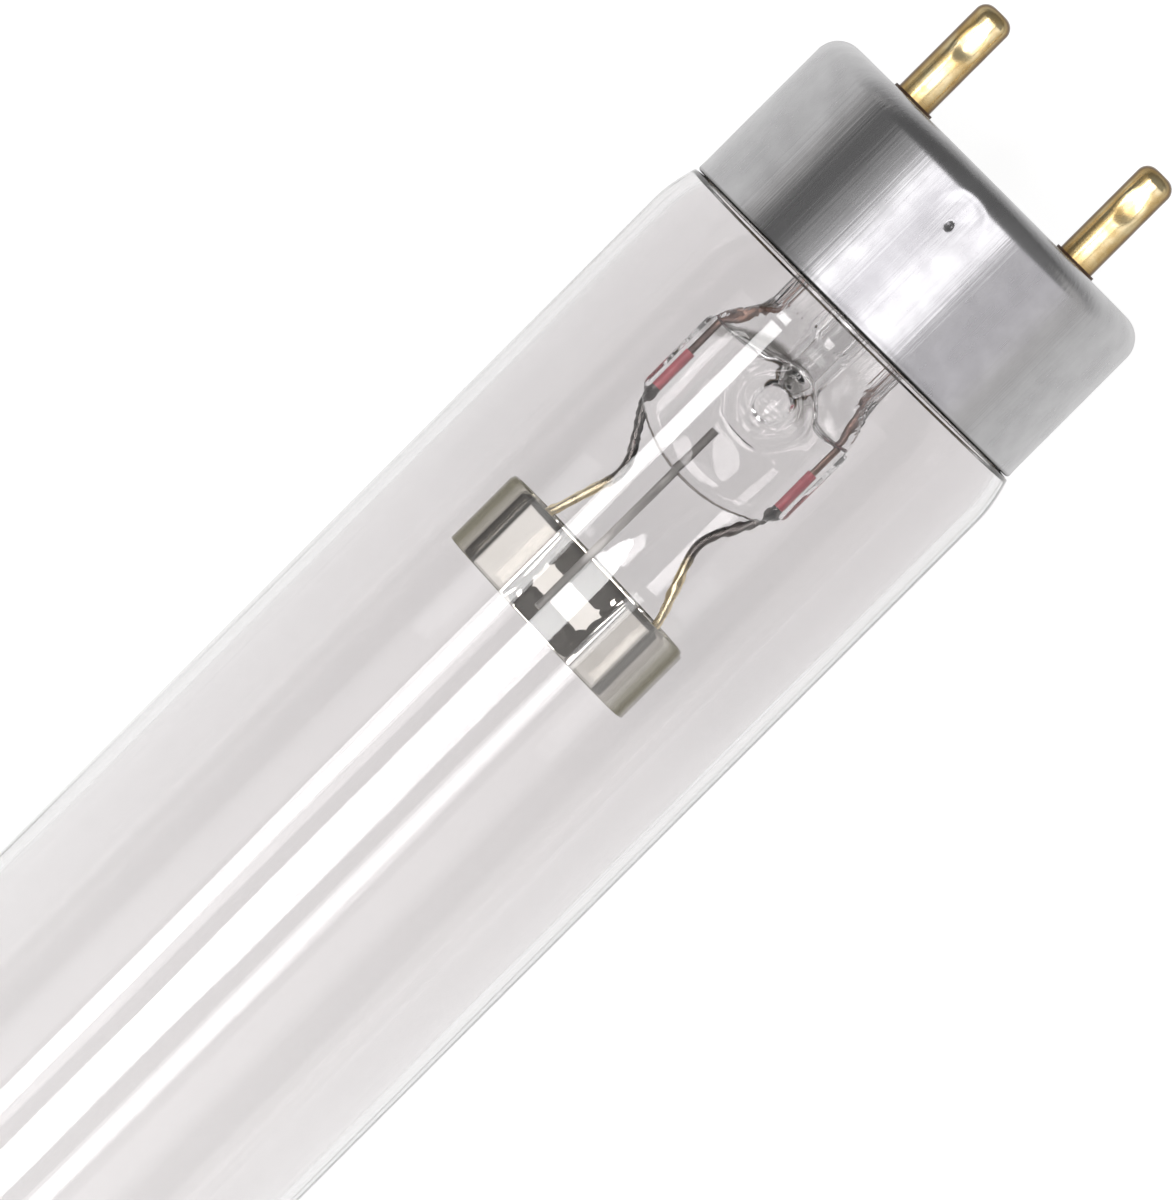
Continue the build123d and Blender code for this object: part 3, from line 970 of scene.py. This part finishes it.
def end_in_wire(tree, curve, sides, radius, material):
    """Ends a geometry tree with a round wire along its curve: smooth, made real and given its material."""
    ring = output(tree, "GeometryNodeCurvePrimitiveCircle", {"Resolution": sides, "Radius": radius})
    swept = output(tree, "GeometryNodeCurveToMesh", {
        "Curve": curve, "Profile Curve": ring, "Fill Caps": True,
    })
    soft = output(tree, "GeometryNodeSetShadeSmooth", {"Geometry": swept})
    real = output(tree, "GeometryNodeRealizeInstances", {"Geometry": soft})
    dressed = output(tree, "GeometryNodeSetMaterial", {"Geometry": real, "Material": material})
    tree.links.new(dressed, tree.nodes.new("NodeGroupOutput").inputs["Geometry"])


def make_wire_tree():
    """A round wire along a route of straight runs, with its bends rounded."""
    tree, given = new_geometry_tree("bent wire", {"Diameter": "Float", "Bend": "Float", "Sides": "Int"})
    bent = output(tree, "GeometryNodeFilletCurve", {
        "Curve": given["Geometry"], "Radius": given["Bend"], "Limit Radius": True, "Count": 10,
    }, mode="POLY")
    radius = calculated(tree, "MULTIPLY", given["Diameter"], 0.5)
    end_in_wire(tree, bent, given["Sides"], radius, given["Material"])
    return tree


def make_coil_tree():
    """A coil wound from a strand that is itself a fine coil."""
    tree, given = new_geometry_tree("coiled coil", {
        "Length": "Float", "Radius": "Float", "Turns": "Float", "Strand Radius": "Float",
        "Strand Turns": "Int", "Wire Radius": "Float",
    })
    points_per_turn = 9.0
    wire_sides = 6

    def vector(operation, values):
        """The result of one step on vectors."""
        return output(tree, "ShaderNodeVectorMath", values, operation=operation)

    winding = output(tree, "GeometryNodeCurveSpiral", {
        "Resolution": 32, "Rotations": given["Turns"], "Start Radius": given["Radius"],
        "End Radius": given["Radius"], "Height": given["Length"],
    })
    count = calculated(tree, "MULTIPLY", given["Strand Turns"], points_per_turn)
    fine = output(tree, "GeometryNodeResampleCurve", {"Curve": winding, "Count": count})
    factor = add_node(tree, "GeometryNodeSplineParameter").outputs["Factor"]
    turns = calculated(tree, "MULTIPLY", factor, given["Strand Turns"])
    turn = calculated(tree, "MULTIPLY", turns, 2 * pi)
    normal = add_node(tree, "GeometryNodeInputNormal").outputs["Normal"]
    tangent = add_node(tree, "GeometryNodeInputTangent").outputs["Tangent"]
    side = vector("CROSS_PRODUCT", {0: tangent, 1: normal})
    outwards = vector("SCALE", {0: normal, "Scale": calculated(tree, "COSINE", turn)})
    sideways = vector("SCALE", {0: side, "Scale": calculated(tree, "SINE", turn)})
    around = vector("ADD", {0: outwards, 1: sideways})
    offset = vector("SCALE", {0: around, "Scale": given["Strand Radius"]})
    wound = output(tree, "GeometryNodeSetPosition", {"Geometry": fine, "Offset": offset})
    end_in_wire(tree, wound, wire_sides, given["Wire Radius"], given["Material"])
    return tree


wire_tree = make_wire_tree()
coil_tree = make_coil_tree()


def grown(tree, data, **values):
    """The plain mesh that a geometry tree makes from a curve or mesh with these input values."""
    seed = bpy.data.objects.new("seed", data)
    bpy.context.collection.objects.link(seed)
    modifier = seed.modifiers.new("tree", "NODES")
    modifier.node_group = tree
    for item in tree.interface.items_tree:
        if item.in_out == "INPUT" and item.name in values:
            modifier[item.identifier] = values[item.name]
    evaluated = seed.evaluated_get(bpy.context.evaluated_depsgraph_get())
    mesh = bpy.data.meshes.new_from_object(evaluated)
    seed.modifiers.remove(modifier)
    bpy.data.objects.remove(seed)
    return mesh


def wire(route, diameter, material, bend=0.0):
    """A bent wire through the points of its route, in millimetres."""
    path = bpy.data.curves.new("route", "CURVE")
    path.dimensions = "3D"
    spline = path.splines.new("POLY")
    spline.points.add(len(route) - 1)
    for point, stop in zip(spline.points, route):
        point.co = (*stop, 1)
    return grown(wire_tree, path, Diameter=diameter, Bend=bend, Sides=16, Material=material)


def bead(x, y, length, diameter):
    """A rounded weld along a lead, thickest in its middle."""
    fullness = 0.8
    outline = [
        (x - length / 2 * cos(a), diameter / 2 * sin(a) ** fullness) for a in np.linspace(0, pi, 13)
    ]
    return turned(outline, 20, y, closed_section=False)


def make_leads():
    """The current leads: copper down the stem, red through the press, nickel to the coil."""
    flange_back = face - plate_depth - pin_flange_thickness
    for number, side in ((1, 1), (2, -1)):
        press_y = press_lean + side * lead_spread
        waist_y = waist_lean + side * waist_spread
        clamp_y = coil_lean + side * clamp_spread
        outer = [
            (pin_tip - lead_below_tip, side * pin_y, 0),
            (flange_back, side * pin_y, 0),
            (rim - lead_turn, side * lead_in_stem, 0),
            (rim - press_shoulder, side * lead_in_stem, 0),
            (rim - lead_in_press, press_y, 0),
            (rim - seal_start, press_y, 0),
        ]
        mesh = wire(outer, outer_lead_diameter, copper, outer_lead_bend)
        place_at_ends(f"lead_outer_{number}", mesh, copper, "lead_copper", f"outer_lead_{number}")

        sealed = [(rim - seal_start, press_y, 0), (rim - seal_end, press_y, 0)]
        mesh = wire(sealed, seal_wire_diameter, seal)
        place_at_ends(f"lead_seal_{number}", mesh, seal, "seal_red", f"seal_wire_{number}")

        inner = [
            (rim - seal_end, press_y, 0),
            (rim - straight_end, press_y, 0),
            (rim - waist, waist_y, 0),
            (coil_x + ring_height / 2, clamp_y, 0),
            (coil_x, clamp_y, 0),
        ]
        mesh = joined(
            wire(inner, inner_lead_diameter, nickel, inner_lead_bend),
            bead(rim - weld_middle, press_y, weld_length, weld_diameter),
            rounded_block((coil_x, clamp_y, 0), clamp_size, clamp_edge),
        )
        mesh.shade_smooth()
        place_at_ends(f"lead_inner_{number}", mesh, nickel, "lead_nickel", f"inner_lead_{number}")


def make_support():
    """The support wire from the press to the front of the ring."""
    front = ring_high.z + support_diameter / 2
    route = [
        (rim - support_start, support_lean, 0),
        (rim - support_straight, support_lean, 0),
        (rim - support_reach, support_lean, front),
        (rim - support_end, support_lean, front),
    ]
    mesh = wire(route, support_diameter, grey_nickel, support_bend)
    place_at_ends("support", mesh, grey_nickel, "lead_nickel", "shield_support")


def make_coil():
    """The electrode: a coiled coil with straight legs in the clamps."""
    strand = coil_strand / 2
    radius = coil_diameter / 2 - strand
    length = coil_length - coil_strand
    turns = grown(
        coil_tree, bpy.data.meshes.new("seed"), Length=length, Radius=radius, Turns=coil_turns,
        Material=tungsten, **{
            "Strand Radius": strand - coil_wire_radius, "Strand Turns": coil_strand_turns,
            "Wire Radius": coil_wire_radius,
        },
    )
    turns.transform(
        Matrix.Translation((coil_x, coil_lean - length / 2, 0)) @ Matrix.Rotation(-pi / 2, 4, "X")
    )
    legs = [
        wire([
            (coil_x + radius, coil_lean + side * length / 2, 0),
            (coil_x, coil_lean + side * (coil_length / 2 + coil_leg_rise), 0),
            (coil_x, coil_lean + side * (clamp_spread + coil_past_clamp), 0),
        ], coil_strand, tungsten, coil_leg_bend)
        for side in (1, -1)
    ]
    mesh = joined(turns, *legs)
    mesh.shade_smooth()
    place_at_ends("coil", mesh, tungsten, "coil_tungsten", "electrode_coil")


# Shield ring


def half_loop(side):
    """One side of the loop from the middle of its front to the middle of its back: where the strip's face
    is across and up, how far it has turned, and how far the flat front reaches."""
    reach = facet_reach[side]
    length = facet_length[side]
    half_depth = ring_high.z
    facet_end = facet_tilt + facet_turn / 2
    flat = reach - length * cos(facet_tilt) - facet_bend * cos(facet_tilt / 2)
    facet_height = half_depth - length * sin(facet_tilt) - facet_bend * sin(facet_tilt / 2)
    side_radius = (ring_length / 2 - reach) / (1 - sin(facet_end))
    stretches = [
        0, flat, facet_bend, length, side_radius * (pi / 2 - facet_end),
        facet_height - side_radius * cos(facet_end), half_depth * pi / 2, ring_length / 2 - half_depth,
    ]
    turns = [0, 0, facet_tilt - facet_turn / 2, facet_end, pi / 2, pi / 2, pi, pi]
    run = np.linspace(0, sum(stretches), loop_points)
    turn = np.interp(run, np.cumsum(stretches), turns)
    middle = (turn[1:] + turn[:-1]) / 2
    across = np.concatenate([[0], np.cumsum(np.cos(middle) * run[1])])
    up = half_depth - np.concatenate([[0], np.cumsum(np.sin(middle) * run[1])])
    return side * across, up, side * turn, flat


def strip_section():
    """The strip's closed section: how far along the lamp, how far out, and how far its front waves out."""
    edge = strip_thickness / 2
    half = ring_height / 2 - edge
    rise = np.linspace(-half, half, 41)
    round_edge = np.linspace(0, pi, 9)[1:-1]
    past = edge * np.sin(round_edge)
    in_wall = edge * np.cos(round_edge)
    along = np.concatenate([rise, half + past, rise[::-1], -half - past])
    out = np.concatenate([
        np.zeros_like(rise), in_wall - edge, np.full_like(rise, -strip_thickness), -edge - in_wall,
    ])
    out = out - edge_roll * smooth(half - edge_roll_length, half, along)
    wave = wave_depth * np.sin(pi * along / half) - tan(wave_tilt) * along
    return along, out, wave


def make_ring():
    """The shield: a bright strip bent into a loop, wavy in front, its ends lapped at the back."""
    *there, flat = half_loop(1)
    *back, _ = half_loop(-1)
    y, z, turn = (np.concatenate([a, b[-2:0:-1]])[:, None] for a, b in zip(there, back))
    in_front = (1 - smooth(wave_full * flat, flat + wave_past, np.abs(y))) * (z > 0)
    along, out, wave = strip_section()
    out = out + wave * in_front
    points = np.stack([
        np.broadcast_to(along, out.shape), y + out * np.sin(turn), z + out * np.cos(turn),
    ], axis=-1)
    lap_middle = (0, 0, ring_low.z + strip_thickness / 2)
    lap = rounded_block(lap_middle, (ring_height, lap_length, strip_thickness), lap_edge)
    mesh = joined(skin(points), lap)
    slant = Matrix.Identity(4)
    slant[0][1] = tan(ring_tilt)
    mesh.transform(Matrix.Translation((coil_x, ring_lean, 0)) @ slant)
    mesh.set_sharp_from_angle(angle=radians(50))
    place_at_ends("ring", mesh, strip_nickel, "shield_nickel", "shield_ring")


# Mercury


def make_mercury():
    """A drop that its own weight flattens a little, lying in the tube."""
    radius = (mercury_high.z - mercury_low.z) / 2
    middle = (mercury_low + mercury_high) / 2
    shape = bmesh.new()
    bmesh.ops.create_uvsphere(shape, u_segments=48, v_segments=32, radius=radius)
    for vert in shape.verts:
        rise = vert.co.z / radius
        vert.co.z = radius * (rise if rise < 0 else rise * drop_top)
        vert.co.z = max(vert.co.z, -radius * drop_foot)
    bmesh.ops.translate(shape, verts=shape.verts, vec=middle)
    mesh = to_mesh(shape)
    mesh.shade_smooth()
    place("mercury", mesh, mercury, "mercury", "mercury_drop")


make_tube()
make_cap()
make_pins()
make_stem()
make_leads()
make_support()
make_coil()
make_ring()
make_mercury()
for end in ENDS:
    for node, material in (("cap_insulator", phenolic), ("basing_cement", cement)):
        data = frame["nodes"][f"{end}_{node}"].data
        data.materials.clear()
        data.materials.append(material)


# Camera at the photograph's view: down on the lamp, a little from beyond its end, turned in the picture

photo_width = 1172
photo_pixels_per_mm = 17.97
lamp_turn = radians(-45.0)
view_tilt = radians(1.8)
centre_below_rim = 21.38
centre_y = -0.4
lens = 500
sensor = 36

view_distance = photo_width / photo_pixels_per_mm * lens / sensor
camera_data = bpy.data.cameras.new("camera")
camera_data.sensor_fit = "HORIZONTAL"
camera_data.sensor_width = sensor
camera_data.lens = lens
camera_data.clip_start = 0.01
camera_data.clip_end = 20
camera = bpy.data.objects.new("camera", camera_data)
camera.matrix_world = (
    Matrix.Translation(Vector((rim - centre_below_rim, centre_y, 0)) * MM)
    @ Matrix.Rotation(view_tilt, 4, "Y")
    @ Matrix.Rotation(lamp_turn, 4, "Z")
    @ Matrix.Translation((0, 0, view_distance * MM))
)
bpy.context.collection.objects.link(camera)
bpy.context.scene.camera = camera


# Studio: strip lamps along the tube, a pale floor and a dim ceiling

lamp_distance = 600
strips_meet = 60
cap_lamps_from = 80
cap_lamps_to = 270
white = (1, 1, 1)
lilac = (0.97, 0.95, 1.0)


def strip_lamp(name, angle, width, x_from, x_to, radiance, only, shape="RECTANGLE", colour=white):
    """A lamp that the side of the lamp mirrors from x_from to x_to; its angle from straight up and its
    width are in degrees round the axis."""
    camera_x = rim - centre_below_rim + view_distance * sin(view_tilt)
    near, far = (x + (x - camera_x) * lamp_distance / view_distance for x in (x_from, x_to))
    data = bpy.data.lights.new(name, "AREA")
    data.shape = shape
    data.size = (far - near) * MM
    data.size_y = 2 * lamp_distance * tan(radians(width) / 2) * MM
    data.energy = radiance * pi * data.size * data.size_y * (pi / 4 if shape == "ELLIPSE" else 1)
    data.color = colour
    lamp = bpy.data.objects.new(name, data)
    turn = radians(angle)
    lamp.location = Vector(((near + far) / 2, -lamp_distance * sin(turn), lamp_distance * cos(turn))) * MM
    lamp.rotation_euler = (turn, 0, 0)
    lamp.visible_camera = False
    lamp.light_linking.receiver_collection = only
    bpy.context.collection.objects.link(lamp)


def make_floor():
    """A pale floor that shows white to the camera, in metal and through glass, and keeps the shadow."""
    half = 4.0
    down = -tube_radius * MM
    mirror_start = pin_tip + 10
    mirror_end = pin_tip + 60
    white_start = rim - 8
    white_end = face + 6
    material = bpy.data.materials.new("pale floor")
    material.use_nodes = True
    tree = material.node_tree
    tree.nodes.clear()
    matt = output(tree, "ShaderNodeBsdfDiffuse", {"Color": (0.415, 0.415, 0.415, 1)})
    path = add_node(tree, "ShaderNodeLightPath").outputs
    in_metal = level(tree, between(tree, mirror_start, mirror_end), 0.84, 0.3)
    mirrored = calculated(tree, "MULTIPLY", path["Is Glossy Ray"], in_metal)
    seen = calculated(tree, "ADD", path["Is Camera Ray"], path["Is Transmission Ray"])
    seen = calculated(tree, "MINIMUM", calculated(tree, "ADD", seen, mirrored), 1.0)
    brightness = level(tree, between(tree, white_start, white_end), 0.80, 0.90)
    glow = output(tree, "ShaderNodeEmission", {"Strength": calculated(tree, "MULTIPLY", seen, brightness)})
    both = output(tree, "ShaderNodeAddShader", {0: matt, 1: glow})
    add_node(tree, "ShaderNodeOutputMaterial", {"Surface": both})
    mesh = bpy.data.meshes.new("floor")
    corners = [(-half, -half, down), (half, -half, down), (half, half, down), (-half, half, down)]
    mesh.from_pydata(corners, [], [(0, 1, 2, 3)])
    mesh.materials.append(material)
    floor = bpy.data.objects.new("floor", mesh)
    bpy.context.collection.objects.link(floor)


def make_world():
    """A pale horizon under a dim ceiling that is darker on one side of the lamp."""
    across = (-0.7, 0.7)
    edge = 0.02
    world = bpy.data.worlds.new("studio")
    world.use_nodes = True
    tree = world.node_tree
    tree.nodes.clear()
    way = add_node(tree, "ShaderNodeTexCoord").outputs["Generated"]
    parts = add_node(tree, "ShaderNodeSeparateXYZ", {0: way}).outputs
    tone = level(tree, parts["Y"], 0.26, 0.16, *across)
    ceiling_edge = level(tree, parts["Y"], 0.30, 0.15, *across)
    above = output(tree, "ShaderNodeMapRange", {
        "Value": calculated(tree, "SUBTRACT", parts["Z"], ceiling_edge), "From Min": -edge, "From Max": edge,
    }, interpolation_type="SMOOTHSTEP")
    beyond = level(tree, parts["X"], 0.0, 1.0, 0.4, 0.75)
    behind = level(tree, parts["X"], 1.0, 0.0, -0.75, -0.4)
    horizon = mix_colours(tree, beyond, (0.80, 0.79, 0.78), (0.20, 0.20, 0.20))
    horizon = mix_colours(tree, behind, horizon, (0.42, 0.42, 0.41))
    ceiling = output(tree, "ShaderNodeCombineColor", {"Red": tone, "Green": tone, "Blue": tone})
    colour = mix_colours(tree, above, horizon, ceiling)
    back = output(tree, "ShaderNodeBackground", {"Color": colour, "Strength": 1.0})
    add_node(tree, "ShaderNodeOutputWorld", {"Surface": back})
    bpy.context.scene.world = world


make_floor()
make_world()
bright_metal = bpy.data.collections.new("caps and pins")
glass_and_floor = bpy.data.collections.new("glass, mount and floor")
tube_only = bpy.data.collections.new("tube")
for piece in list(bpy.context.collection.objects):
    if piece.type == "MESH":
        if "_cap" in piece.name or "_pin_" in piece.name:
            bright_metal.objects.link(piece)
        if "_cap" not in piece.name:
            glass_and_floor.objects.link(piece)
        if piece.name == "tube":
            tube_only.objects.link(piece)

for name, angle, width, x_far, x_near, radiance in (
    ("left strip", -26, 8, -212, 212, 8.0),
    ("left soft", -43.5, 20, -212, 212, 0.7),
    ("middle strip", -2, 13, -189, 187.8, 9.0),
    ("right strip", 21, 6, -189, 189, 3.8),
    ("right soft", 43.5, 20, -212, 212, 0.6),
):
    strip_lamp(name, angle, width, strips_meet, x_near, radiance, glass_and_floor)
    strip_lamp(f"far {name}", angle, width, x_far, strips_meet, radiance, tube_only)
for name, angle, width, x_from, x_to, radiance, shape in (
    ("left strip spot", -26, 7, 236, 272, 8.0, "RECTANGLE"),
    ("left soft core", -44.5, 11, 179, 192.5, 0.6, "RECTANGLE"),
    ("middle strip end", -2, 13, 184.6, 190.9, 9.0, "ELLIPSE"),
    ("right soft core", 44.5, 11, 179, 192.5, 0.35, "RECTANGLE"),
    ("ring soft", -1, 12, 213, 252, 1.7, "RECTANGLE"),
):
    strip_lamp(name, angle, width, x_from, x_to, radiance, glass_and_floor, shape)
for name, angle, width, radiance, colour in (
    ("cap soft", -2.5, 59, 1.54, lilac),
    ("cap left", -27, 15, 1.35, white),
    ("cap right", 13, 30, 0.98, white),
    ("cap left fill", -44, 20, 0.40, white),
    ("cap side", 53, 40, 0.78, lilac),
):
    strip_lamp(name, angle, width, cap_lamps_from, cap_lamps_to, radiance, bright_metal, colour=colour)

bpy.context.scene.view_settings.view_transform = "Standard"
